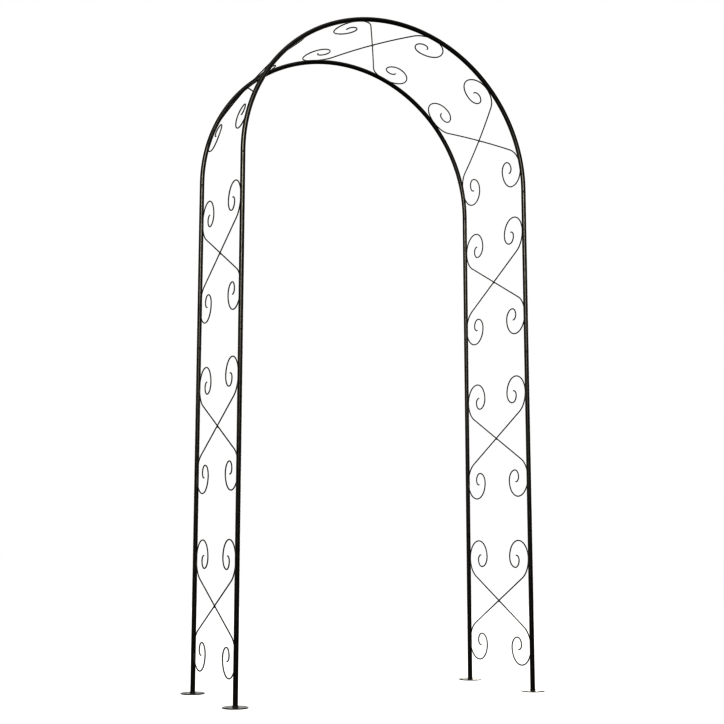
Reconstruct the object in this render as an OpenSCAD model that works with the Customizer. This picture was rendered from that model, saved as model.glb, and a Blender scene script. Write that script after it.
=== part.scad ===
// Garden trellis arch: two tubular hoops joined by scroll panels, standing on four foot plates.
// Origin: on the ground under the centre of the walkway. +X across the walkway, +Y from the
// front hoop to the rear hoop, +Z up. The arch is nine panels that plug into each other end to
// end: three in each leg and three over the walkway. A panel is two tubes with two S-shaped
// scroll wires welded between them.

/* [Overall] */
// Distance between the left and right tube centres
span_w = 1120; // [900:10:1500]
// Distance between the front and rear tube centres
depth_d = 440; // [400:5:600]
// Length of one straight leg tube, from rim to shoulder
leg_tube_l = 610; // [560:5:800]
// Straight end of the hoop above its joint with the leg
hoop_tail_l = 8; // [2:1:60]

/* [Tube] */
// Outside diameter of the tubes
tube_d = 16; // [13:0.5:25]
// Wall of the tubes
tube_wall = 0.9; // [0.7:0.1:1.5]
// Length of the reduced end that plugs into the next tube
spigot_l = 32; // [15:1:60]
// Radial clearance between a spigot and the bore that it sits in
spigot_clearance = 0.08; // [0.05:0.01:0.3]
// Bevel round the rim and the shoulder of each joint
rim_bevel = 0.5; // [0.2:0.1:0.6]

/* [Scroll wire] */
// Diameter of the scroll wire
wire_d = 4; // [3:0.5:6]
// Height from the crossing to the point where a scroll touches its tube
touch_h = 158; // [140:1:190]
// Radius of the shoulder bend between the diagonal and the tube
shoulder_r = 79; // [40:1:90]
// Radii of the quarter turns of a curl, from the tube inwards
curl_radii = [66, 60, 38, 26]; // [20:1:80]
// Radius of the hook at the end of a curl
hook_r = 18; // [12:1:22]
// Sweep of that hook
hook_sweep = 95; // [30:5:150]
// How far the arch scrolls sit from the middle of their panels, towards the right leg
arch_scroll_shift = 35; // [0:1:45]

/* [Welds] */
// Distance from the touching point of a scroll to each of its two welds
weld_offset = 18; // [10:1:24]
// Diameter of a weld bead on a scroll
bead_d = 6.5; // [5.5:0.5:9]
// Diameter of the two spots of weld at a crossing
crossing_bead_d = 4.4; // [3.5:0.1:5]
// Leg of the ring weld between a leg and its foot plate
foot_weld_leg = 3; // [1.5:0.5:5]

/* [Foot plate] */
// Diameter of a foot plate
plate_d = 84; // [60:1:140]
// Thickness of a foot plate
plate_t = 3; // [2:0.5:6]
// Rounding of the upper edge of a foot plate
plate_edge_r = 1; // [0.5:0.1:1.5]

/* [Hidden] */
LEFT = -1;
RIGHT = 1;
FRONT = -1;
REAR = 1;
OUTER = 1;
INNER = -1;
UPPER_END = 1;
LOWER_END = -1;
side_names = [[LEFT, "left"], [RIGHT, "right"]];
row_names = [[FRONT, "front"], [REAR, "rear"]];
layer_names = [[OUTER, "outer"], [INNER, "inner"]];
level_names = ["lower", "middle", "upper"];
// The three panels of the arch, in order from the right leg to the left one
arch_names = ["arch_right", "arch_top", "arch_left"];

leg_panels = [for (s = side_names) for (k = [0 : 2]) str(s[1], "_", level_names[k])];
panel_names = concat(leg_panels, arch_names);
feet_names = [for (s = side_names) for (r = row_names) str(s[1], "_", r[1])];

// Finish: satin black powder coat, a little warmer on the tubes than on the wires
coat_black = [0.10, 0.10, 0.09];
wire_black = [0.07, 0.07, 0.07];
plate_black = [0.13, 0.13, 0.13];

hoop_r = span_w / 2;
tube_r = tube_d / 2;
wire_r = wire_d / 2;
bore_r = tube_r - tube_wall;
spigot_r = bore_r - spigot_clearance;
spigot_bore_r = spigot_r - tube_wall;
joint_z = plate_t + 3 * leg_tube_l;
spring_z = joint_z + hoop_tail_l;
panel_deg = 180 / len(arch_names);
fine = 96;
// How far a cut runs past the face that it opens
over = 1;
over_deg = 1;
// Angle at the hoop's centre of a length along the hoop
function along_deg(l) = l / hoop_r * 180 / PI;

// A scroll's two wires lie against each other where they cross, one on each side of the
// panel's middle plane, so the distance from its axis to the tube's axis is a little less
// than the sum of the radii when it is measured in the plane of the panel.
touch_u = depth_d / 2 - sqrt(pow(tube_r + wire_r, 2) - pow(wire_r, 2));

// The diagonal starts at the crossing and runs tangent to the shoulder bend
shoulder_c = [touch_u - shoulder_r, touch_h];
diagonal_l = sqrt(pow(norm(shoulder_c), 2) - pow(shoulder_r, 2));
diagonal_a = atan2(shoulder_c[1], shoulder_c[0]) - asin(shoulder_r / norm(shoulder_c));

// Bends of half a scroll wire, from the crossing to the tip, each as [radius, sweep]. Each is
// drawn as equal chords, none of which turns by more than bend_step.
bends = concat([[shoulder_r, 90 - diagonal_a]], [for (r = curl_radii) [r, 90]], [[hook_r, hook_sweep]]);

// Where a bend ends that starts at [u, v, heading], with u across the panel and v along it
function bend_end(s, b) = let (h = s[2] + b[1])
    [s[0] + b[0] * (sin(h) - sin(s[2])), s[1] - b[0] * (cos(h) - cos(s[2])), h];
function bend_starts(s, i = 0) = i == len(bends) ? [s]
    : concat([s], bend_starts(bend_end(s, bends[i]), i + 1));
starts = bend_starts([diagonal_l * cos(diagonal_a), diagonal_l * sin(diagonal_a), diagonal_a]);

bend_step = 22.5;
function chords(bend) = ceil(bend[1] / bend_step);

// Centre line of a scroll wire as [u, v] points. The diagonal is cut into diagonal_steps.
function half_line(diagonal_steps) = concat(
    [for (i = [1 : diagonal_steps]) diagonal_l * i / diagonal_steps * [cos(diagonal_a), sin(diagonal_a)]],
    [for (i = [0 : len(bends) - 1]) let (s = starts[i], b = bends[i], n = chords(b))
        for (k = [1 : n]) let (e = bend_end(s, [b[0], b[1] * k / n])) [e[0], e[1]]]);
function scroll_line(diagonal_steps) = let (half = half_line(diagonal_steps))
    concat([for (i = [len(half) - 1 : -1 : 0]) -half[i]], [[0, 0]], half);

// ---- Tubes ----

// Bore of a spigot that hangs below z = 0, through the shoulder into the tube above
module spigot_bore() {
    translate([0, 0, -spigot_l - over])
        cylinder(r = spigot_bore_r, h = spigot_l + tube_wall + 2 * over, $fn = fine);
}

// Straight tube up from its shoulder at z = 0, with an optional spigot below the shoulder
module straight_tube(length, spigot = true) {
    difference() {
        union() {
            translate([0, 0, spigot ? rim_bevel : 0])
                cylinder(r = tube_r, h = length - rim_bevel * (spigot ? 2 : 1), $fn = fine);
            translate([0, 0, length - rim_bevel])
                cylinder(r1 = tube_r, r2 = tube_r - rim_bevel, h = rim_bevel, $fn = fine);
            if (spigot) {
                cylinder(r1 = tube_r - rim_bevel, r2 = tube_r, h = rim_bevel, $fn = fine);
                translate([0, 0, -spigot_l]) cylinder(r = spigot_r, h = spigot_l, $fn = fine);
            }
        }
        translate([0, 0, spigot ? tube_wall : -over])
            cylinder(r = bore_r, h = length + 2 * over, $fn = fine);
        if (spigot) spigot_bore();
    }
}

module leg_tube(side, row, level, spigot = true) {
    color(coat_black)
        translate([side * hoop_r, row * depth_d / 2, plate_t + level * leg_tube_l])
            straight_tube(leg_tube_l, spigot);
}

// Ring segment of the hoop with the section radius r, from angle a to angle b
module hoop_bar(r, a, b) {
    translate([0, 0, spring_z]) rotate([90, 0, 0]) rotate([0, 0, a])
        rotate_extrude(angle = b - a, $fn = 2 * fine) translate([hoop_r, 0]) circle(r = r, $fn = fine);
}

// The side tube of a hoop, drawn on the right: a spigot and a tail below the bend, and an
// open rim at the top, where the top tube plugs in
module hoop_side_tube(row) {
    translate([0, row * depth_d / 2, 0]) difference() {
        union() {
            hoop_bar(tube_r, 0, panel_deg);
            translate([hoop_r, 0, joint_z + rim_bevel])
                cylinder(r = tube_r, h = hoop_tail_l - rim_bevel, $fn = fine);
            translate([hoop_r, 0, joint_z])
                cylinder(r1 = tube_r - rim_bevel, r2 = tube_r, h = rim_bevel, $fn = fine);
            translate([hoop_r, 0, joint_z - spigot_l])
                cylinder(r = spigot_r, h = spigot_l, $fn = fine);
        }
        hoop_bar(bore_r, 0, panel_deg + over_deg);
        translate([hoop_r, 0, joint_z + tube_wall])
            cylinder(r = bore_r, h = hoop_tail_l - tube_wall, $fn = fine);
        translate([hoop_r, 0, joint_z]) spigot_bore();
    }
}

// The top tube of a hoop, with a spigot at each end
module hoop_top_tube(row) {
    shoulder_deg = along_deg(tube_wall);
    spigot_deg = along_deg(spigot_l);
    color(coat_black) translate([0, row * depth_d / 2, 0]) difference() {
        union() {
            hoop_bar(tube_r, panel_deg, 2 * panel_deg);
            hoop_bar(spigot_r, panel_deg - spigot_deg, 2 * panel_deg + spigot_deg);
        }
        hoop_bar(bore_r, panel_deg + shoulder_deg, 2 * panel_deg - shoulder_deg);
        hoop_bar(spigot_bore_r, panel_deg - spigot_deg - over_deg,
            2 * panel_deg + spigot_deg + over_deg);
    }
}

module arch_side_tube(side, row) {
    color(coat_black) mirror([side == LEFT ? 1 : 0, 0, 0]) hoop_side_tube(row);
}

// ---- Foot plates ----

module foot_plate(side, row) {
    color(plate_black) translate([side * hoop_r, row * depth_d / 2, 0])
        rotate_extrude($fn = fine) {
            square([plate_d / 2, plate_t - plate_edge_r]);
            square([plate_d / 2 - plate_edge_r, plate_t]);
            translate([plate_d / 2 - plate_edge_r, plate_t - plate_edge_r])
                circle(r = plate_edge_r, $fn = 32);
        }
}

// Fillet of weld metal round the foot of a leg, a little hollow between its two edges
module foot_weld(side, row) {
    waist = 0.36 * foot_weld_leg;
    color(plate_black) translate([side * hoop_r, row * depth_d / 2, plate_t])
        rotate_extrude($fn = fine) translate([tube_r, 0])
            polygon([[0, 0], [foot_weld_leg, 0], [waist, waist], [0, foot_weld_leg]]);
}

// ---- Scroll wires ----

// The wire is swept as a prism with wire_sides sides. Its corners stand a little outside the
// round wire, which keeps the section's area, and its flats face the tubes and the crossing.
wire_sides = 8;
wire_corner_r = wire_r * sqrt(2 * PI / (wire_sides * sin(360 / wire_sides)));
function unit(v) = v / norm(v);
module swept_wire(points, outward) {
    last = len(points) - 1;
    ring = [for (i = [0 : last]) let (
        along = unit(points[min(i + 1, last)] - points[max(i - 1, 0)]),
        across = unit(cross(along, outward[i])),
        up = cross(across, along))
        for (k = [0 : wire_sides - 1]) let (t = 360 * (k + 0.5) / wire_sides)
            points[i] + wire_corner_r * (cos(t) * across + sin(t) * up)];
    sides = [for (i = [0 : last - 1]) for (k = [0 : wire_sides - 1]) let (
        a = i * wire_sides + k, b = i * wire_sides + (k + 1) % wire_sides)
        [a, b, b + wire_sides, a + wire_sides]];
    ends = [[for (k = [wire_sides - 1 : -1 : 0]) k], [for (k = [0 : wire_sides - 1]) last * wire_sides + k]];
    polyhedron(ring, concat(sides, ends));
}

// Every panel has a frame of its own: X out of the panel, Y along u between its tubes, and Z
// along v. A leg panel is flat, and an arch panel is bent with the hoop, so its frame turns
// with v. The panels of the left leg are those of the right leg turned to face the other way.
function arch_panel_a(panel) = (panel + 0.5) * panel_deg - along_deg(arch_scroll_shift);
module leg_panel(side, level) {
    rotate([0, 0, side == LEFT ? 180 : 0])
        translate([hoop_r, 0, plate_t + (level + 0.5) * leg_tube_l]) children();
}

module leg_scroll(side, level, layer) {
    points = [for (p = scroll_line(1)) [layer * wire_r, layer * p[0], p[1]]];
    color(wire_black) leg_panel(side, level) swept_wire(points, [for (p = points) [1, 0, 0]]);
}

bent_diagonal_steps = 7;
module arch_scroll(panel, layer) {
    line = scroll_line(bent_diagonal_steps);
    angles = [for (p = line) arch_panel_a(panel) + along_deg(p[1])];
    outward = [for (t = angles) [cos(t), 0, sin(t)]];
    points = [for (i = [0 : len(line) - 1])
        (hoop_r + layer * wire_r) * outward[i] + [0, layer * line[i][0], spring_z]];
    color(wire_black) swept_wire(points, outward);
}

// ---- Welds ----

// The two welds of each contact lie on the chords that meet where the scroll touches its tube.
// Each is held as [wire's u, v, heading] in the upper half of a scroll.
function weld_on(bend, way) = let (turn = bend[1] / chords(bend) / 2)
    [touch_u - weld_offset * tan(turn), touch_h + way * weld_offset, 90 + way * turn];
weld_spots = [weld_on(bends[0], -1), weld_on(bends[1], 1)];
tube_edge_u = depth_d / 2 - tube_r;

// A rod that clears the wire's corners, along a heading in the panel's plane
module wire_room(heading) {
    rotate([heading - 90, 0, 0]) cylinder(r = wire_corner_r, h = 3 * bead_d, center = true, $fn = 48);
}

// Weld bead between an inner wire at v = 0 and the tube beside it
module weld_bead(spot) {
    difference() {
        translate([-wire_r / 2, (spot[0] + tube_edge_u) / 2, 0]) sphere(d = bead_d, $fn = 48);
        translate([-wire_r, spot[0], 0]) wire_room(spot[2]);
    }
}

// Spot of weld in the crook above or below the crossing of the two wires
module crossing_bead(end) {
    crook_h = 0.75 * wire_d;
    difference() {
        translate([0, 0, end * crook_h]) sphere(d = crossing_bead_d, $fn = 48);
        for (layer = [OUTER, INNER]) translate([layer * wire_r, 0, 0])
            wire_room(90 + layer * (diagonal_a - 90));
    }
}

// The same bead on either wire, above or below the crossing. The two wires are each other's
// mirror images, and a wire's lower half is its upper half turned round the crossing.
module scroll_bead(spot, layer, end) {
    mirror([layer == OUTER ? 1 : 0, 0, 0])
        mirror([0, layer == end ? 0 : 1, 0])
            mirror([0, 0, end == LOWER_END ? 1 : 0]) weld_bead(spot);
}

module leg_welds(side, level) {
    color(coat_black) difference() {
        leg_panel(side, level) {
            for (end = [UPPER_END, LOWER_END]) crossing_bead(end);
            for (layer = [OUTER, INNER]) for (end = [UPPER_END, LOWER_END]) for (spot = weld_spots)
                translate([0, 0, end * spot[1]]) scroll_bead(spot, layer, end);
        }
        for (row = [FRONT, REAR])
            translate([side * hoop_r, row * depth_d / 2, 0]) cylinder(r = tube_r, h = joint_z, $fn = fine);
    }
}

module arch_welds(panel) {
    color(coat_black) difference() {
        translate([0, 0, spring_z]) {
            for (end = [UPPER_END, LOWER_END])
                rotate([0, -arch_panel_a(panel), 0]) translate([hoop_r, 0, 0]) crossing_bead(end);
            for (layer = [OUTER, INNER]) for (end = [UPPER_END, LOWER_END]) for (spot = weld_spots)
                rotate([0, -arch_panel_a(panel) - along_deg(end * spot[1]), 0])
                    translate([hoop_r, 0, 0]) scroll_bead(spot, layer, end);
        }
        for (row = [FRONT, REAR]) translate([0, row * depth_d / 2, 0])
            hoop_bar(tube_r, -panel_deg / 2, 180 + panel_deg / 2);
    }
}

// ---- Assembly ----

for (s = side_names) for (k = [0 : 2]) {
    panel = str(s[1], "_", level_names[k]);
    for (r = row_names)
        leg_tube(s[0], r[0], k, k > 0);
    for (l = layer_names)
        leg_scroll(s[0], k, l[0]);
    leg_welds(s[0], k);
}
for (r = row_names) {
    arch_side_tube(RIGHT, r[0]);
    hoop_top_tube(r[0]);
    arch_side_tube(LEFT, r[0]);
}
for (k = [0 : 2]) {
    for (l = layer_names)
        arch_scroll(k, l[0]);
    arch_welds(k);
}
for (s = side_names) for (r = row_names) {
    foot_plate(s[0], r[0]);
    foot_weld(s[0], r[0]);
}
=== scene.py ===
"""Looks of a garden trellis arch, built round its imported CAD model.

The CAD model gives the frame: the tubes, the foot plates and the place of everything else. This
script dresses those nodes in powder coat, and it makes the bent scroll wires, the tack welds and
the rings of weld at the feet as finished meshes that stand for the plain CAD ones. The camera,
the lamps and the floor are at the end.

All lengths are in metres, in the frame of the CAD model: the origin is on the ground under the
centre of the walkway, +X goes to the right leg, +Y to the rear hoop and +Z up.
"""

import logging
import math
from collections.abc import Callable
from dataclasses import dataclass, field
from enum import Enum

import bmesh
import bpy
from mathutils import Matrix, Vector, noise


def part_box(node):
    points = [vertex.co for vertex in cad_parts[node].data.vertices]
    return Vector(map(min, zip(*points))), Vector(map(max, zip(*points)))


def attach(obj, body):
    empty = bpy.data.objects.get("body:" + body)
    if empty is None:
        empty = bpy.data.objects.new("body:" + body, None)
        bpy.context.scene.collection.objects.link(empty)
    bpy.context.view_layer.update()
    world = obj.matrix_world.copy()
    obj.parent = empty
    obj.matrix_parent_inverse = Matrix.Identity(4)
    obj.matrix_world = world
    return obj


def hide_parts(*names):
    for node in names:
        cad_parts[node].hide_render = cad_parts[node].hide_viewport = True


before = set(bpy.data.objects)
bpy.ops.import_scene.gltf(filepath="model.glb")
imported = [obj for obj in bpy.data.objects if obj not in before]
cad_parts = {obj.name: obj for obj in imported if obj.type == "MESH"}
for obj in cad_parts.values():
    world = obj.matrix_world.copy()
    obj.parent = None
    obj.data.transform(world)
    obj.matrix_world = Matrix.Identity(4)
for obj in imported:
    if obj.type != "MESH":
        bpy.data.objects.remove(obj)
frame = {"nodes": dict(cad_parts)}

LOG = logging.getLogger("trellis_arch")
MM = 0.001
BODY = "root"
MERGE = 0.02 * MM

Colour = tuple[float, float, float, float]
Span = tuple[float, float]

# The part of a noise's values that is stretched over a pattern's whole range
EVEN_NOISE: Span = (0.3, 0.7)
CRISP_NOISE: Span = (0.35, 0.65)
PATCHY_NOISE: Span = (0.42, 0.68)


# ---- Names -----------------------------------------------------------------------------------


class Side(Enum):
    """The two legs."""

    LEFT = "left"
    RIGHT = "right"


class Row(Enum):
    """The two hoops."""

    FRONT = "front"
    REAR = "rear"


class Layer(Enum):
    """The two wires of a panel, by the side of its middle plane that they lie on."""

    OUTER = 1
    INNER = -1


class End(Enum):
    """The two halves of a scroll wire."""

    UPPER = 1
    LOWER = -1


class Level(Enum):
    """The three panels of a leg."""

    LOWER = "lower"
    MIDDLE = "middle"
    UPPER = "upper"


class Bay(Enum):
    """The three panels of the arch, by their place from the right leg to the left one."""

    RIGHT = 0
    TOP = 1
    LEFT = 2


# ---- Finishes --------------------------------------------------------------------------------


class ShaderGraph:
    """A material's node tree with one Principled shader, and short ways to add to it."""

    def __init__(self, name: str) -> None:
        """Starts an empty material.

        Args:
            name: The material's name.
        """
        self.material = bpy.data.materials.new(name)
        self.material.use_nodes = True
        self.tree = self.material.node_tree
        self.tree.nodes.clear()
        output = self.tree.nodes.new("ShaderNodeOutputMaterial")
        self.shader = self.tree.nodes.new("ShaderNodeBsdfPrincipled")
        self.tree.links.new(self.shader.outputs["BSDF"], output.inputs["Surface"])
        place = self.tree.nodes.new("ShaderNodeTexCoord")
        self.place = place.outputs["Object"]

    def node(self, kind: str, inputs: dict | None = None, **settings: object) -> bpy.types.Node:
        """Adds a node.

        Args:
            kind: The node's type, such as ShaderNodeMath.
            inputs: What goes into its sockets, by name or number: a value or another socket.
            **settings: The node's own properties.

        Returns:
            The new node.
        """
        node = self.tree.nodes.new(kind)
        for name, value in settings.items():
            setattr(node, name, value)
        for name, value in (inputs or {}).items():
            self.feed(node, name, value)
        return node

    def feed(self, node: bpy.types.Node, name: str | int, value: object) -> None:
        """Puts a value or another node's socket into an input.

        Args:
            node: The node to feed.
            name: The input's name or number.
            value: A socket, a number or a colour.
        """
        if isinstance(value, bpy.types.NodeSocket):
            self.tree.links.new(value, node.inputs[name])
        else:
            node.inputs[name].default_value = value

    def grain(self, size: float, detail: float = 2.0, roughness: float = 0.5) -> bpy.types.NodeSocket:
        """Adds noise whose blotches are about as wide as size.

        Args:
            size: Width of a blotch in metres.
            detail: How many finer octaves are added.
            roughness: How strong those octaves are.

        Returns:
            The noise value, from 0 to 1.
        """
        inputs = {"Vector": self.place, "Scale": 1 / size, "Detail": detail, "Roughness": roughness}
        return self.node("ShaderNodeTexNoise", inputs).outputs["Fac"]

    def spread(self, value: object, source: Span, target: Span) -> bpy.types.NodeSocket:
        """Maps a value's range smoothly onto another range.

        Args:
            value: The socket to map.
            source: The inputs that give the two ends of the target.
            target: The outputs at those inputs and beyond them.

        Returns:
            The mapped value.
        """
        inputs = {"Value": value, "From Min": source[0], "From Max": source[1],
                  "To Min": target[0], "To Max": target[1]}
        mapped = self.node("ShaderNodeMapRange", inputs, interpolation_type="SMOOTHSTEP")
        return mapped.outputs["Result"]

    def math(self, operation: str, *values: object) -> bpy.types.NodeSocket:
        """Adds a Math node.

        Args:
            operation: The node's operation.
            *values: Its inputs, in order.

        Returns:
            The result.
        """
        inputs = dict(enumerate(values))
        return self.node("ShaderNodeMath", inputs, operation=operation).outputs["Value"]

    def blend(self, share: object, first: object, second: object) -> bpy.types.NodeSocket:
        """Blends two colours.

        Args:
            share: How much of the second colour shows, from 0 to 1.
            first: A colour or a colour socket.
            second: A colour or a colour socket.

        Returns:
            The blended colour.
        """
        node = self.node("ShaderNodeMix", data_type="RGBA")
        self.feed(node, 0, share)
        self.feed(node, 6, first)
        self.feed(node, 7, second)
        return node.outputs[2]


@dataclass(frozen=True)
class PowderCoat:
    """Baked black powder coat over steel.

    Attributes:
        name: The material's name.
        deep: The darker of its two tones.
        pale: The lighter of its two tones.
        roughness: Mean roughness.
        gloss: Specular level of the coat.
        peel: Width of the orange peel's dimples.
        peel_depth: Depth of the dimples.
        peel_strength: How strongly the dimples show.
        fine: Width of the powder's own grain.
        fine_depth: Depth of that grain.
        fine_strength: How strongly it shows.
        patch: Width of the patches of the two tones.
        cloud_size: Width of the clouds in the roughness.
        cloud: How far they change it.
        sand_size: Width of the sandy grain in the roughness.
        sand: How far it changes it.
        dust: How strongly fine dust shows on faces that look up, from 0 to 1.
        dust_tone: Its colour.
        dust_size: Width of its patches.
        dust_slope: How far up a face has to look for dust to lie, as the height of its normal.
        dust_least: Share of the dust that lies even between its patches.
        seams: Heights of the joints between the tubes, each marked with a dark line of painted
        shade that stands for the shade in the gap of the joint.
        seam_shade_tone: Colour of such a line.
        seam_reach: Half its width.
        seam_core: Share of that width that is fully dark.
        seam_rough: Roughness that the line adds.
    """

    name: str
    deep: Colour = (0.0022, 0.0021, 0.0018, 1.0)
    pale: Colour = (0.0060, 0.0055, 0.0046, 1.0)
    roughness: float = 0.36
    gloss: float = 0.40
    peel: float = 1.6 * MM
    peel_depth: float = 0.030 * MM
    peel_strength: float = 0.6
    fine: float = 0.45 * MM
    fine_depth: float = 0.02 * MM
    fine_strength: float = 0.25
    patch: float = 90 * MM
    cloud_size: float = 22 * MM
    cloud: float = 0.05
    sand_size: float = 0.7 * MM
    sand: float = 0.03
    dust: float = 0.10
    dust_tone: Colour = (0.11, 0.105, 0.095, 1.0)
    dust_size: float = 9 * MM
    dust_slope: float = 0.55
    dust_least: float = 0.15
    # The seams carry painted shade, a dark line at each joint between the tubes.
    seams: tuple[float, ...] = ()
    seam_shade_tone: Colour = (0.0008, 0.0008, 0.0007, 1.0)
    seam_reach: float = 2.6 * MM
    seam_core: float = 0.35
    seam_rough: float = 0.5

    def material(self) -> bpy.types.Material:
        """Builds the finish.

        Returns:
            The material.
        """
        graph = ShaderGraph(self.name)
        tone = graph.spread(graph.grain(self.patch, detail=4.0), CRISP_NOISE, (0.0, 1.0))
        colour = self.dusted(graph, graph.blend(tone, self.deep, self.pale))
        clouds = graph.grain(self.cloud_size, detail=3.0)
        cloud = graph.spread(clouds, EVEN_NOISE, (-self.cloud, self.cloud))
        sand = graph.spread(graph.grain(self.sand_size), EVEN_NOISE, (-self.sand, self.sand))
        rough = graph.math("ADD", graph.math("ADD", cloud, sand), self.roughness)
        # Painted shade: a dark, rougher line at each joint stands for the shade in the gap between
        # the tubes.
        if self.seams:
            line = self.seam_shade_lines(graph)
            colour = graph.blend(line, colour, self.seam_shade_tone)
            rough = graph.math("MULTIPLY_ADD", line, self.seam_rough, rough)
        graph.feed(graph.shader, "Base Color", colour)
        graph.feed(graph.shader, "Roughness", rough)
        graph.shader.inputs["Specular IOR Level"].default_value = self.gloss
        graph.feed(graph.shader, "Normal", self.orange_peel(graph))
        return graph.material

    def dusted(self, graph: ShaderGraph, colour: bpy.types.NodeSocket) -> bpy.types.NodeSocket:
        """Lays thin dust on the faces that look up.

        Args:
            graph: The material's graph.
            colour: The clean colour.

        Returns:
            The colour with dust on it.
        """
        normal = graph.node("ShaderNodeNewGeometry").outputs["Normal"]
        up = graph.node("ShaderNodeSeparateXYZ", {0: normal}).outputs["Z"]
        lying = graph.spread(up, (self.dust_slope, 1.0), (0.0, self.dust))
        patches = graph.grain(self.dust_size, detail=5.0, roughness=0.65)
        patchy = graph.spread(patches, PATCHY_NOISE, (self.dust_least, 1.0))
        return graph.blend(graph.math("MULTIPLY", lying, patchy), colour, self.dust_tone)

    def seam_shade_lines(self, graph: ShaderGraph) -> bpy.types.NodeSocket:
        """Paints shade at the joints: thin dark lines where one tube plugs into the next.

        Args:
            graph: The material's graph.

        Returns:
            The mask, 1 on a line.
        """
        height = graph.node("ShaderNodeSeparateXYZ", {0: graph.place}).outputs["Z"]
        mask: object = 0.0
        for seam in self.seams:
            away = graph.math("ABSOLUTE", graph.math("SUBTRACT", height, seam))
            span = (self.seam_core * self.seam_reach, self.seam_reach)
            line = graph.spread(away, span, (1.0, 0.0))
            mask = graph.math("MAXIMUM", line, mask)
        return mask

    def orange_peel(self, graph: ShaderGraph) -> bpy.types.NodeSocket:
        """Adds the dimples of the baked powder and its finer grain.

        Args:
            graph: The material's graph.

        Returns:
            The bumped normal.
        """
        grain = graph.grain(self.fine, detail=1.0)
        inputs = {"Strength": self.fine_strength, "Distance": self.fine_depth, "Height": grain}
        fine = graph.node("ShaderNodeBump", inputs)
        dimples = graph.grain(self.peel, detail=1.5)
        inputs = {"Strength": self.peel_strength, "Distance": self.peel_depth, "Height": dimples}
        peel = graph.node("ShaderNodeBump", inputs)
        graph.feed(peel, "Normal", fine.outputs["Normal"])
        return peel.outputs["Normal"]


@dataclass(frozen=True)
class StudioFloor:
    """Plain white floor of frosted acrylic, lit evenly from below.

    Attributes:
        name: The material's name.
        pale: The brighter of its two tones.
        shade: The other tone.
        patch: Width of the patches of the two tones.
        roughness: Its roughness.
        gloss: Its specular level.
        light: Colour of the light that comes through it.
        glow: Strength of that light.
    """

    name: str = "studio_floor"
    pale: Colour = (0.13, 0.13, 0.13, 1.0)
    shade: Colour = (0.11, 0.11, 0.11, 1.0)
    patch: float = 0.6
    roughness: float = 0.9
    gloss: float = 0.1
    light: Colour = (1.0, 1.0, 1.0, 1.0)
    glow: float = 1.0

    def material(self) -> bpy.types.Material:
        """Builds the finish.

        Returns:
            The material.
        """
        graph = ShaderGraph(self.name)
        tone = graph.spread(graph.grain(self.patch, detail=3.0), EVEN_NOISE, (0.0, 1.0))
        graph.feed(graph.shader, "Base Color", graph.blend(tone, self.pale, self.shade))
        graph.shader.inputs["Roughness"].default_value = self.roughness
        graph.shader.inputs["Specular IOR Level"].default_value = self.gloss
        graph.shader.inputs["Emission Color"].default_value = self.light
        graph.shader.inputs["Emission Strength"].default_value = self.glow
        return graph.material


# ---- Helpers ---------------------------------------------------------------------------------


def finish_piece(bm: bmesh.types.BMesh, name: str, nodes: list[str],
                 material: bpy.types.Material) -> bpy.types.Object:
    """Turns a bmesh into a smooth piece that rides on the frame and stands for CAD nodes.

    Args:
        bm: The shape. It is freed.
        name: The piece's name.
        nodes: The CAD nodes that it stands for.
        material: Its finish.

    Returns:
        The new object.
    """
    mesh = bpy.data.meshes.new(name)
    bm.to_mesh(mesh)
    bm.free()
    mesh.materials.append(material)
    mesh.shade_smooth()
    piece = bpy.data.objects.new(name, mesh)
    bpy.context.scene.collection.objects.link(piece)
    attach(piece, BODY)
    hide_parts(*nodes)
    LOG.info("%s: %d faces, for %s", name, len(mesh.polygons), ", ".join(nodes))
    return piece


def face_outwards(bm: bmesh.types.BMesh) -> None:
    """Turns the faces of one closed shell outwards.

    The recalculation alone can take the wrong side of a long bent wire, so the sign of the volume
    settles it. It is meant for a single shell: separate lumps each need their own sign.

    Args:
        bm: The shell.
    """
    bmesh.ops.recalc_face_normals(bm, faces=bm.faces)
    if bm.calc_volume(signed=True) < 0:
        bmesh.ops.reverse_faces(bm, faces=bm.faces)


def verts_of(geometry: list) -> list[bmesh.types.BMVert]:
    """Picks the vertices out of an operator's result.

    Args:
        geometry: What the operator returned.

    Returns:
        The vertices.
    """
    return [item for item in geometry if isinstance(item, bmesh.types.BMVert)]


def edges_of(geometry: list) -> list[bmesh.types.BMEdge]:
    """Picks the edges out of an operator's result.

    Args:
        geometry: What the operator returned.

    Returns:
        The edges.
    """
    return [item for item in geometry if isinstance(item, bmesh.types.BMEdge)]


# ---- The frame's sizes -----------------------------------------------------------------------


@dataclass(frozen=True)
class ArchFrame:
    """Where the CAD model has its hoops, read off its nodes.

    Attributes:
        hoop_r: Radius of a hoop's centre line, and half the distance between the legs.
        half_depth: Half the distance between the front and rear tubes.
        tube_r: Outside radius of the tubes.
        plate_t: Thickness of a foot plate.
        joints: Heights of the joints between the tubes of a leg.
        spring_z: Height of the hoop's centre.
    """

    hoop_r: float
    half_depth: float
    tube_r: float
    plate_t: float
    joints: tuple[float, ...]
    spring_z: float

    @classmethod
    def measured(cls) -> "ArchFrame":
        """Reads the sizes off the CAD nodes.

        Returns:
            The sizes.
        """
        low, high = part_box("right_lower_front_tube")
        hoop_r = (low.x + high.x) / 2
        tube_r = (high.x - low.x) / 2
        joints = tuple(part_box(f"right_{level.value}_front_tube")[1].z for level in Level)
        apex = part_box("arch_top_front_tube")[1].z
        return cls(hoop_r=hoop_r, half_depth=-(low.y + high.y) / 2, tube_r=tube_r, plate_t=low.z,
                   joints=joints, spring_z=apex - tube_r - hoop_r)


Bend = Callable[[Vector], Vector]


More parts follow.
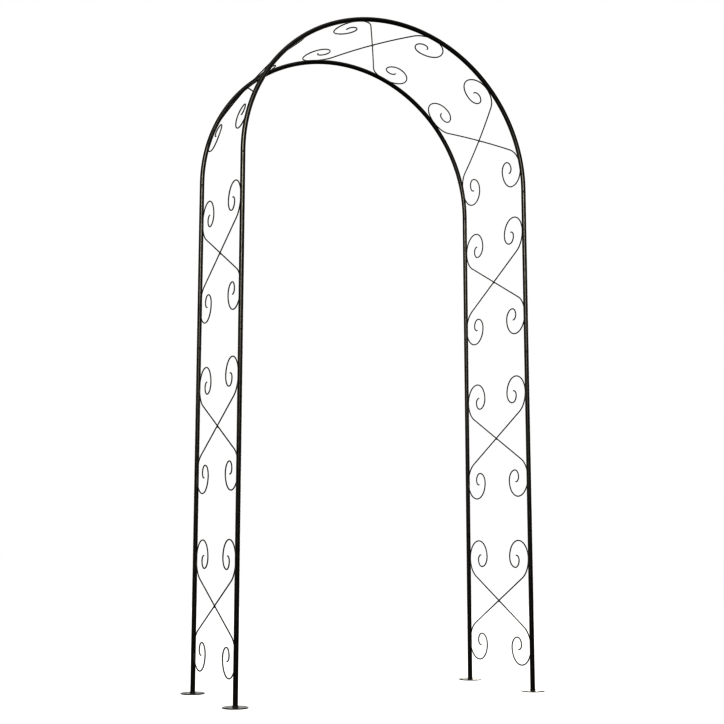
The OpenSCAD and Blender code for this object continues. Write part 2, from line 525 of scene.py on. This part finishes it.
@dataclass(frozen=True)
class Panel:
    """One of the nine panels, and how a point of its flat drawing goes into the arch.

    The drawing has X out of the panel, Y across it between its tubes and Z along it, with the
    crossing of the two wires at the origin.

    Attributes:
        name: The start of its nodes' names.
        place: Takes a point of the drawing to its place in the arch.
        bent: Whether the panel is bent with the hoop.
    """

    name: str
    place: Bend
    bent: bool


@dataclass(frozen=True)
class PanelPlan:
    """Lays the nine panels out.

    Attributes:
        sizes: The frame's sizes.
        bay_shift: How far the arch scrolls sit from the middle of their bays, towards the right
            leg.
    """

    sizes: ArchFrame
    bay_shift: float = 35 * MM

    def leg_panel(self, side: Side, level: Level) -> Panel:
        """Lays out one flat panel of a leg.

        Args:
            side: The leg.
            level: Its place in the leg.

        Returns:
            The panel.
        """
        name = f"{side.value}_{level.value}"
        low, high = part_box(f"{name}_outer_scroll")
        middle = (low.z + high.z) / 2
        facing = Matrix.Rotation(math.pi if side is Side.LEFT else 0.0, 4, "Z")
        move = facing @ Matrix.Translation((self.sizes.hoop_r, 0, middle))
        return Panel(name, lambda point: move @ point, bent=False)

    def arch_panel(self, bay: Bay) -> Panel:
        """Lays out one bent panel of the arch.

        Args:
            bay: Its place in the arch.

        Returns:
            The panel.
        """
        hoop_r, spring_z = self.sizes.hoop_r, self.sizes.spring_z
        middle = (bay.value + 0.5) * math.pi / len(Bay) - self.bay_shift / hoop_r

        def bend(point: Vector) -> Vector:
            """Rolls the flat drawing round the hoop.

            Args:
                point: A point of the drawing.

            Returns:
                Its place in the arch.
            """
            angle = middle + point.z / hoop_r
            reach = hoop_r + point.x
            return Vector((reach * math.cos(angle), point.y, spring_z + reach * math.sin(angle)))

        return Panel(f"arch_{bay.name.lower()}", bend, bent=True)

    def panels(self) -> list[Panel]:
        """Lays out all nine panels.

        Returns:
            The panels, first those of the legs.
        """
        legs = [self.leg_panel(side, level) for side in Side for level in Level]
        return legs + [self.arch_panel(bay) for bay in Bay]


# ---- Scroll wires ----------------------------------------------------------------------------


@dataclass(frozen=True)
class Stroke:
    """One bend of a wire, turning left.

    Attributes:
        radius: Its radius.
        sweep: How far it turns.
        start: Where it starts, across and along the panel.
        heading: Its direction at the start, from across the panel.
    """

    radius: float
    sweep: float
    start: Vector
    heading: float

    @property
    def centre(self) -> Vector:
        """Centre of the bend."""
        return self.start + self.radius * Vector((-math.sin(self.heading), math.cos(self.heading)))

    def point(self, turned: float) -> Vector:
        """Point of the bend after it has turned by an angle.

        Args:
            turned: The angle.

        Returns:
            The point, across and along the panel.
        """
        heading = self.heading + turned
        return self.centre + self.radius * Vector((math.sin(heading), -math.cos(heading)))


@dataclass
class ScrollWire:
    """A round wire bent into an S with a curl at each end.

    Attributes:
        sizes: The frame's sizes.
        wire_r: Radius of the wire.
        touch: Height from the crossing to the point where the wire touches its tube.
        shoulder_r: Radius of the bend between the diagonal and the tube.
        curl_radii: Radii of the quarter turns of a curl, from the tube inwards.
        hook_r: Radius of the hook at the end of a curl.
        hook_sweep: How far the hook turns.
        sides: Sides of the wire's section.
        bend_step: Turn of one ring of faces in a bend.
        run_step: Length of one ring of faces in a diagonal that is bent with the hoop.
        tip_bevel: Bevel of the cropped end.
        tip_segments: Rings of faces in that bevel.
        touch_across: Distance from the panel's middle line to the wire where it touches.
        slope: Direction of the diagonal, from across the panel.
        run: Length of the diagonal, from the crossing to the first bend.
        strokes: The bends of one half, from the crossing to the tip.
    """

    sizes: ArchFrame
    wire_r: float = 2.0 * MM
    touch: float = 158 * MM
    shoulder_r: float = 79 * MM
    curl_radii: tuple[float, ...] = (66 * MM, 60 * MM, 38 * MM, 26 * MM)
    hook_r: float = 18 * MM
    hook_sweep: float = math.radians(95)
    sides: int = 14
    bend_step: float = math.radians(6)
    run_step: float = 9 * MM
    tip_bevel: float = 0.5 * MM
    tip_segments: int = 3
    touch_across: float = field(init=False)
    slope: float = field(init=False)
    run: float = field(init=False)
    strokes: list[Stroke] = field(init=False)

    def __post_init__(self) -> None:
        """Works out the diagonal and the bends of one half."""
        nearest = math.sqrt((self.sizes.tube_r + self.wire_r) ** 2 - self.wire_r ** 2)
        self.touch_across = self.sizes.half_depth - nearest
        shoulder = Vector((self.touch_across - self.shoulder_r, self.touch))
        self.run = math.sqrt(shoulder.length ** 2 - self.shoulder_r ** 2)
        lean = math.asin(self.shoulder_r / shoulder.length)
        self.slope = math.atan2(shoulder.y, shoulder.x) - lean
        turns = [(self.shoulder_r, math.pi / 2 - self.slope)]
        turns += [(radius, math.pi / 2) for radius in self.curl_radii]
        turns.append((self.hook_r, self.hook_sweep))
        self.strokes = []
        start = self.run * Vector((math.cos(self.slope), math.sin(self.slope)))
        heading = self.slope
        for radius, sweep in turns:
            stroke = Stroke(radius, sweep, start, heading)
            self.strokes.append(stroke)
            start, heading = stroke.point(sweep), heading + sweep

    def half(self, bent: bool) -> bmesh.types.BMesh:
        """Sweeps the wire from the crossing to its tip, in the flat drawing of a panel.

        Args:
            bent: Whether the diagonal needs rings of its own, because the panel is bent later.

        Returns:
            The half wire, open at the crossing.
        """
        bm = bmesh.new()
        turn = Matrix.Rotation(self.slope - math.pi / 2, 4, "X")
        bmesh.ops.create_circle(bm, segments=self.sides, radius=self.wire_r, matrix=turn)
        ring = list(bm.edges)
        steps = math.ceil(self.run / self.run_step) if bent else 1
        stride = self.run / steps * Vector((0, math.cos(self.slope), math.sin(self.slope)))
        for _ in range(steps):
            pulled = bmesh.ops.extrude_edge_only(bm, edges=ring)["geom"]
            bmesh.ops.translate(bm, verts=verts_of(pulled), vec=stride)
            ring = [edge for edge in edges_of(pulled) if len(edge.link_faces) == 1]
        for stroke in self.strokes:
            centre = Vector((0, stroke.centre.x, stroke.centre.y))
            spun = bmesh.ops.spin(bm, geom=ring, cent=centre, axis=(1, 0, 0), angle=stroke.sweep,
                                  steps=math.ceil(stroke.sweep / self.bend_step))
            ring = edges_of(spun["geom_last"])
        tip = bmesh.ops.contextual_create(bm, geom=ring)["faces"]
        bmesh.ops.bevel(bm, geom=list(tip[0].edges), offset=self.tip_bevel, affect="EDGES",
                        segments=self.tip_segments, profile=0.5, material=-1, offset_type="OFFSET")
        return bm

    def build(self, panel: Panel, layer: Layer, material: bpy.types.Material) -> bpy.types.Object:
        """Makes one wire of a panel.

        Args:
            panel: The panel.
            layer: The wire's side of the panel's middle plane.
            material: Its finish.

        Returns:
            The wire.
        """
        bm = self.half(panel.bent)
        whole = list(bm.verts) + list(bm.edges) + list(bm.faces)
        other = bmesh.ops.duplicate(bm, geom=whole)["geom"]
        half_turn = Matrix.Rotation(math.pi, 3, "X")
        bmesh.ops.rotate(bm, verts=verts_of(other), cent=(0, 0, 0), matrix=half_turn)
        bmesh.ops.remove_doubles(bm, verts=bm.verts, dist=MERGE)
        if layer is Layer.INNER:
            bmesh.ops.scale(bm, vec=(1, -1, 1), verts=bm.verts)
        bmesh.ops.translate(bm, vec=(layer.value * self.wire_r, 0, 0), verts=bm.verts)
        for vert in bm.verts:
            vert.co = panel.place(vert.co)
        face_outwards(bm)
        name = f"{panel.name}_{layer.name.lower()}"
        return finish_piece(bm, f"{name}_wire", [f"{name}_scroll"], material)


# ---- Welds -----------------------------------------------------------------------------------


@dataclass
class TackWelds:
    """The beads that hold a panel's two wires to its tubes, and the spots at their crossing.

    Attributes:
        wire: The wire that is welded.
        reach: Distance from the touching point to a bead, along the tube.
        bead: A bead's half length, half width and half height.
        spot: The same for a spot at the crossing.
        spot_rise: How far a spot lies from the crossing.
        ripple: Height of the weld's ripples.
        ripple_size: Width of a ripple.
        fineness: How often a lump's faces are divided.
    """

    wire: ScrollWire
    reach: float = 18 * MM
    bead: tuple[float, float, float] = (6.2 * MM, 2.9 * MM, 2.7 * MM)
    spot: tuple[float, float, float] = (1.7 * MM, 3.3 * MM, 1.9 * MM)
    spot_rise: float = 2.4 * MM
    ripple: float = 0.38 * MM
    ripple_size: float = 1.9 * MM
    fineness: int = 3

    def lump(self, bm: bmesh.types.BMesh, panel: Panel, at: Vector, heading: float,
             size: tuple[float, float, float]) -> None:
        """Adds one lump of weld metal.

        Args:
            bm: The welds of the panel.
            panel: The panel.
            at: The lump's middle, in the panel's flat drawing.
            heading: Direction of its length, from across the panel.
            size: Its half length, half width and half height.
        """
        length, width, height = size
        made = bmesh.ops.create_icosphere(bm, subdivisions=self.fineness, radius=1.0)["verts"]
        bmesh.ops.scale(bm, vec=(height, length, width), verts=made)
        turn = Matrix.Rotation(heading, 3, "X")
        bmesh.ops.rotate(bm, verts=made, cent=(0, 0, 0), matrix=turn)
        bmesh.ops.translate(bm, verts=made, vec=at)
        for vert in made:
            placed = panel.place(vert.co)
            rough = noise.noise(placed / self.ripple_size)
            away = (placed - panel.place(at)).normalized()
            vert.co = placed + self.ripple * rough * away

    def contacts(self, layer: Layer, end: End) -> list[tuple[Vector, float]]:
        """Works out the two beads of one half of a wire.

        Args:
            layer: The wire.
            end: The half of it.

        Returns:
            The middle and the heading of each bead.
        """
        wall = self.wire.sizes.half_depth - self.wire.sizes.tube_r
        beads = []
        for way, radius in ((-1, self.wire.shoulder_r), (1, self.wire.curl_radii[0])):
            turn = math.asin(self.reach / radius)
            across = self.wire.touch_across - radius * (1 - math.cos(turn))
            middle = (across + wall) / 2
            flip = layer.value * end.value
            at = Vector((layer.value * self.wire.wire_r / 2, flip * middle,
                         end.value * (self.wire.touch + way * self.reach)))
            heading = math.pi / 2 + way * turn / 2
            beads.append((at, heading if layer is Layer.OUTER else -heading))
        return beads

    def build(self, panel: Panel, material: bpy.types.Material) -> bpy.types.Object:
        """Makes the welds of one panel.

        Args:
            panel: The panel.
            material: Their finish.

        Returns:
            The welds, as one piece.
        """
        bm = bmesh.new()
        for layer in Layer:
            for end in End:
                for at, heading in self.contacts(layer, end):
                    self.lump(bm, panel, at, heading, self.bead)
        for end in End:
            at = Vector((0, 0, end.value * self.spot_rise))
            self.lump(bm, panel, at, math.pi / 2, self.spot)
        nodes = [f"{panel.name}_welds"]
        return finish_piece(bm, f"{panel.name}_tack_welds", nodes, material)


@dataclass
class FootWeld:
    """The ring of weld between a leg and its foot plate, with the ripples of its passes.

    Attributes:
        sizes: The frame's sizes.
        leg: How far the weld reaches up the tube and out over the plate.
        bulge: How far its face stands out from the straight line between its edges.
        bulge_share: Share of the bulge that goes outwards, and that goes upwards.
        face_points: Points of that face, from the plate up to the tube.
        tuck: How far it reaches into the tube and the plate.
        ripples: Ripples round the ring.
        ripple: Height of a ripple.
        wander: How unevenly the ripples follow each other, as a turn of their wave.
        wander_size: Length over which that changes.
        steps: Rings of faces round the foot.
    """

    sizes: ArchFrame
    leg: float = 2.9 * MM
    bulge: float = 0.35 * MM
    bulge_share: float = 0.7
    face_points: int = 5
    tuck: float = 0.3 * MM
    ripples: int = 30
    ripple: float = 0.22 * MM
    wander: float = 0.5
    wander_size: float = 4 * MM
    steps: int = 180

    def outline(self) -> list[Vector]:
        """Draws the weld's section, in the plane of the tube's axis and +X.

        Returns:
            Its corners, in order round it.
        """
        inside = self.sizes.tube_r - self.tuck
        foot = self.sizes.tube_r + self.leg
        corners = [Vector((inside, 0, -self.tuck)), Vector((foot, 0, -self.tuck))]
        for index in range(self.face_points):
            share = index / (self.face_points - 1)
            crown = self.bulge * math.sin(math.pi * share) * self.bulge_share
            out = self.sizes.tube_r + self.leg * (1 - share) + crown
            corners.append(Vector((out, 0, self.leg * share + crown)))
        corners.append(Vector((inside, 0, self.leg)))
        return corners

    def ruffle(self, bm: bmesh.types.BMesh) -> None:
        """Raises the ripples of the passes on the weld's face.

        The corner buried in both the tube and the plate moves a little with them, out of sight.

        Args:
            bm: The weld, round the origin.
        """
        for vert in bm.verts:
            out = math.hypot(vert.co.x, vert.co.y)
            if (out - self.sizes.tube_r) * vert.co.z > 0:
                angle = math.atan2(vert.co.y, vert.co.x)
                drift = self.wander * noise.noise(vert.co / self.wander_size)
                wave = abs(math.sin(self.ripples / 2 * angle + drift))
                lift = self.ripple * (wave - 0.5)
                vert.co += lift * Vector((vert.co.x / out, vert.co.y / out, 1.0))

    def build(self, side: Side, row: Row, material: bpy.types.Material) -> bpy.types.Object:
        """Makes the weld of one foot.

        Args:
            side: The leg.
            row: The hoop.
            material: Its finish.

        Returns:
            The weld.
        """
        foot = f"{side.value}_{row.value}_foot"
        low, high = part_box(f"{foot}_weld")
        centre = Vector(((low.x + high.x) / 2, (low.y + high.y) / 2, low.z))
        bm = bmesh.new()
        corners = [bm.verts.new(point) for point in self.outline()]
        rim = [bm.edges.new((a, b)) for a, b in zip(corners, corners[1:] + corners[:1])]
        bmesh.ops.spin(bm, geom=corners + rim, cent=(0, 0, 0), axis=(0, 0, 1), angle=2 * math.pi,
                       steps=self.steps, use_merge=True)
        self.ruffle(bm)
        bmesh.ops.translate(bm, vec=centre, verts=bm.verts)
        face_outwards(bm)
        return finish_piece(bm, f"{foot}_ring_weld", [f"{foot}_weld"], material)


# ---- Frame parts -----------------------------------------------------------------------------


@dataclass
class FramePaint:
    """Puts the finishes on the CAD nodes whose shape stays as it is.

    Attributes:
        tube: Finish of the tubes.
        plate: Finish of the foot plates.
    """

    tube: bpy.types.Material
    plate: bpy.types.Material

    def dress(self, nodes: dict[str, bpy.types.Object]) -> None:
        """Dresses the tubes and the foot plates.

        Args:
            nodes: The CAD nodes, by name.
        """
        for name, node in nodes.items():
            if name.endswith("_tube"):
                self.coat(node, self.tube)
            elif name.endswith("_foot_plate"):
                self.coat(node, self.plate)

    def coat(self, node: bpy.types.Object, material: bpy.types.Material) -> None:
        """Gives every slot of a node the same finish.

        Args:
            node: The node.
            material: The finish.
        """
        for slot in node.material_slots:
            slot.material = material
        LOG.info("%s: %s", node.name, material.name)


# ---- Studio ----------------------------------------------------------------------------------


@dataclass
class SoftBox:
    """A square lamp on a stand, aimed at a point.

    Attributes:
        name: Its name.
        place: Where it stands.
        aim: What it points at.
        width: Its width.
        height: Its height.
        power: Its power in watts.
        colour: The colour of its light.
    """

    name: str
    place: Vector
    aim: Vector
    width: float
    height: float
    power: float
    colour: tuple[float, float, float] = (1.0, 1.0, 1.0)

    def build(self) -> bpy.types.Object:
        """Makes the lamp.

        Returns:
            The lamp.
        """
        data = bpy.data.lights.new(self.name, "AREA")
        data.shape = "RECTANGLE"
        data.size, data.size_y = self.width, self.height
        data.energy = self.power
        data.color = self.colour
        lamp = bpy.data.objects.new(self.name, data)
        lamp.location = self.place
        lamp.rotation_euler = (self.aim - self.place).to_track_quat("-Z", "Y").to_euler()
        lamp.visible_camera = False
        bpy.context.scene.collection.objects.link(lamp)
        LOG.info("%s: %.1f x %.1f m, %.0f W", self.name, self.width, self.height, self.power)
        return lamp


@dataclass
class Studio:
    """A white floor before a white wall, and six soft boxes.

    Attributes:
        wall: Brightness of the wall, as seen.
        gamma: Gamma of the picture. Below 1 keeps thin dark wires dark against the wall.
        floor_r: Radius of the floor.
        floor_sides: Sides of its rim.
        floor_drop: How far it lies below the feet.
        warm: Colour of the warm lamps.
    """

    wall: float = 1.0
    gamma: float = 0.65
    floor_r: float = 60.0
    floor_sides: int = 96
    floor_drop: float = 0.2 * MM
    warm: tuple[float, float, float] = (1.0, 0.94, 0.80)

    def build(self) -> None:
        """Makes the floor, the wall and the lamps."""
        self.lay_floor()
        self.paint_wall()
        for lamp in self.lamps():
            lamp.build()

    def lamps(self) -> list[SoftBox]:
        """Lists the lamps.

        Returns:
            The lamps: one by the camera, three behind, one on the right and one overhead. The
            one by the camera and the two at the rear corners are warm.
        """
        aim = Vector((0, 0, 1.2))
        arch_aim = Vector((-0.1, 0, 1.7))
        return [
            SoftBox("key_soft_box", Vector((-2.6, -4.6, 3.5)), arch_aim, 3.6, 2.2, 830.0, self.warm),
            SoftBox("back_soft_box", Vector((2.6, 6.0, 1.1)), aim, 7.0, 2.2, 75.0),
            SoftBox("right_soft_box", Vector((5.2, -0.4, 2.0)), aim, 1.8, 2.4, 60.0),
            SoftBox("rear_right_soft_box", Vector((4.0, 3.8, 1.3)), aim, 2.4, 2.4, 80.0, self.warm),
            SoftBox("rear_left_soft_box", Vector((-3.8, 4.2, 1.3)), aim, 2.4, 2.4, 90.0, self.warm),
            SoftBox("top_soft_box", Vector((0, 0, 5.2)), aim, 5.0, 5.0, 110.0),
        ]

    def lay_floor(self) -> bpy.types.Object:
        """Lays the round floor, a hair below the feet. Only the camera sees it.

        Returns:
            The floor.
        """
        bm = bmesh.new()
        bmesh.ops.create_circle(bm, cap_ends=True, segments=self.floor_sides, radius=self.floor_r)
        bmesh.ops.translate(bm, vec=(0, 0, -self.floor_drop), verts=bm.verts)
        mesh = bpy.data.meshes.new("floor")
        bm.to_mesh(mesh)
        bm.free()
        mesh.materials.append(StudioFloor().material())
        floor = bpy.data.objects.new("floor", mesh)
        floor.visible_glossy = False
        floor.visible_diffuse = False
        bpy.context.scene.collection.objects.link(floor)
        return floor

    def paint_wall(self) -> None:
        """Makes the wall, which only the camera sees, and sets the tones of the picture."""
        world = bpy.data.worlds.new("white_wall")
        world.use_nodes = True
        background = world.node_tree.nodes["Background"]
        background.inputs["Color"].default_value = (1.0, 1.0, 1.0, 1.0)
        background.inputs["Strength"].default_value = self.wall
        world.cycles_visibility.diffuse = False
        world.cycles_visibility.glossy = False
        bpy.context.scene.world = world
        bpy.context.scene.view_settings.view_transform = "Standard"
        bpy.context.scene.view_settings.gamma = self.gamma


@dataclass
class ViewCamera:
    """The camera, standing to the left of the walkway and low, looking up a little.

    Attributes:
        place: Where it stands.
        turn: How far it looks to the right of straight ahead.
        tilt: How far it looks up.
        focal: Focal length, as a share of the picture's width.
        rise: How far the lens is shifted up, as a share of the picture's width.
        sensor: Width of its sensor in millimetres.
    """

    place: Vector = field(default_factory=lambda: Vector((-1.946, -4.072, 0.501)))
    turn: float = math.radians(25.44)
    tilt: float = math.radians(8.08)
    focal: float = 1.7214
    rise: float = 0.0138
    sensor: float = 36.0

    def build(self) -> bpy.types.Object:
        """Makes the camera and gives it to the scene.

        Returns:
            The camera.
        """
        data = bpy.data.cameras.new("view")
        data.sensor_width = self.sensor
        data.lens = self.focal * self.sensor
        data.shift_y = self.rise
        camera = bpy.data.objects.new("view", data)
        camera.location = self.place
        camera.rotation_euler = (math.pi / 2 + self.tilt, 0, -self.turn)
        bpy.context.scene.collection.objects.link(camera)
        bpy.context.scene.camera = camera
        return camera


# ---- Assembly --------------------------------------------------------------------------------


def main() -> None:
    """Dresses the frame, makes the wires and the welds, and sets up the studio."""
    logging.basicConfig(level=logging.INFO, format="%(name)s: %(message)s")
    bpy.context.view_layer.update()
    sizes = ArchFrame.measured()
    LOG.info("hoop radius %.3f, half depth %.3f, tube radius %.4f",
             sizes.hoop_r, sizes.half_depth, sizes.tube_r)

    tube_coat = PowderCoat("tube_powder_coat", seams=sizes.joints).material()
    wire_coat = PowderCoat("wire_powder_coat", roughness=0.45, peel=1.1 * MM,
                           peel_depth=0.015 * MM).material()
    weld_coat = PowderCoat("weld_powder_coat", roughness=0.48, peel=2.2 * MM,
                           peel_depth=0.08 * MM).material()
    plate_coat = PowderCoat("plate_powder_coat", roughness=0.30, gloss=0.45, dust=0.16).material()

    FramePaint(tube_coat, plate_coat).dress(frame["nodes"])
    wire = ScrollWire(sizes)
    welds = TackWelds(wire)
    for panel in PanelPlan(sizes).panels():
        for layer in Layer:
            wire.build(panel, layer, wire_coat)
        welds.build(panel, weld_coat)
    foot_weld = FootWeld(sizes)
    for side in Side:
        for row in Row:
            foot_weld.build(side, row, weld_coat)

    Studio().build()
    ViewCamera().build()


if __name__ == "__main__":
    main()
